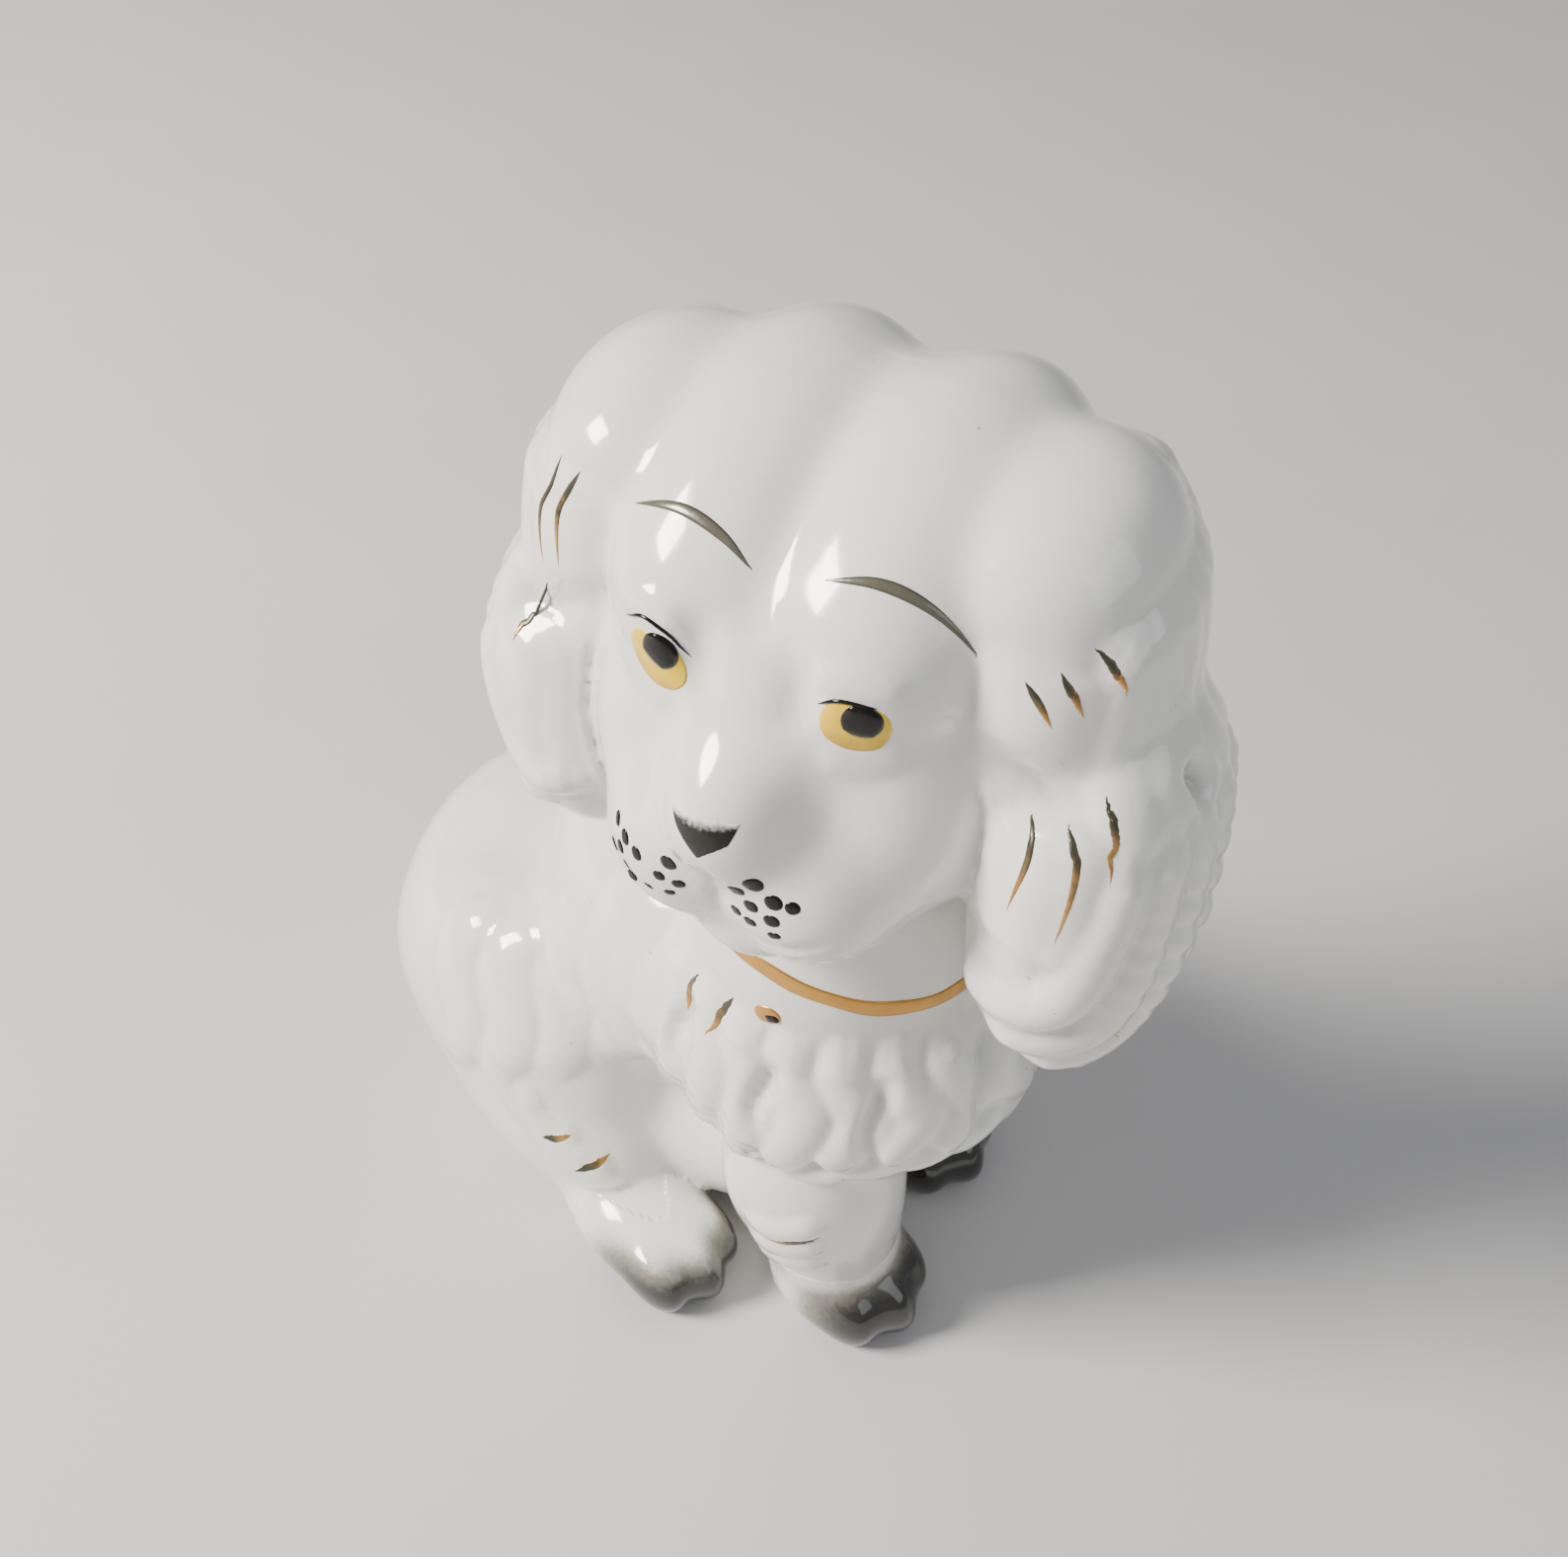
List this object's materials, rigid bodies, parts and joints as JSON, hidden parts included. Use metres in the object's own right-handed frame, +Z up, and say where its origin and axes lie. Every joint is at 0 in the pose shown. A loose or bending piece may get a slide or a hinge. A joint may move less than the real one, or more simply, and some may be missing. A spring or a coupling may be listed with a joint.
{
  "type": "ceramic dog figurine",
  "caption": "Glazed earthenware spaniel figurine, seated, with its head turned over the right shoulder and painted eyes, muzzle, paws and gilt collar.",
  "frame": {"origin": "on the foot plane, below the middle of the figure's box", "axes": "+X where the body faces, +Y the dog's left, +Z up"},
  "size_m": [0.0924, 0.049, 0.1059],
  "materials": {
    "white_glaze": "glossy clear glaze over a warm white body",
    "yellow_enamel": "glossy fired enamel",
    "black_enamel": "glossy fired enamel, sprayed soft at the edges on the paws",
    "olive_enamel": "thin brushed enamel",
    "gilding": "fired liquid gold, worn thin"
  },
  "bodies": {
    "root": {"body": "white_glaze", "right_hind_foot": "white_glaze", "left_hind_foot": "white_glaze", "tail": "white_glaze", "right_foreleg": "white_glaze", "left_foreleg": "white_glaze", "head": "white_glaze", "right_ear": "white_glaze", "left_ear": "white_glaze", "right_iris": "yellow_enamel", "left_iris": "yellow_enamel", "right_pupil": "black_enamel", "left_pupil": "black_enamel", "right_lid_line": "black_enamel", "left_lid_line": "black_enamel", "nose_enamel": "black_enamel", "right_whisker_spots": "black_enamel", "left_whisker_spots": "black_enamel", "locket_enamel": "black_enamel", "right_forepaw_enamel": "black_enamel", "left_forepaw_enamel": "black_enamel", "right_hind_paw_enamel": "black_enamel", "left_hind_paw_enamel": "black_enamel", "right_brow": "olive_enamel", "left_brow": "olive_enamel", "collar_gilding": "gilding", "locket_gilding": "gilding", "right_ear_gilding": "gilding", "left_ear_gilding": "gilding", "chest_gilding": "gilding", "haunch_gilding": "gilding", "foreleg_gilding": "gilding"}
  },
  "joints": []
}
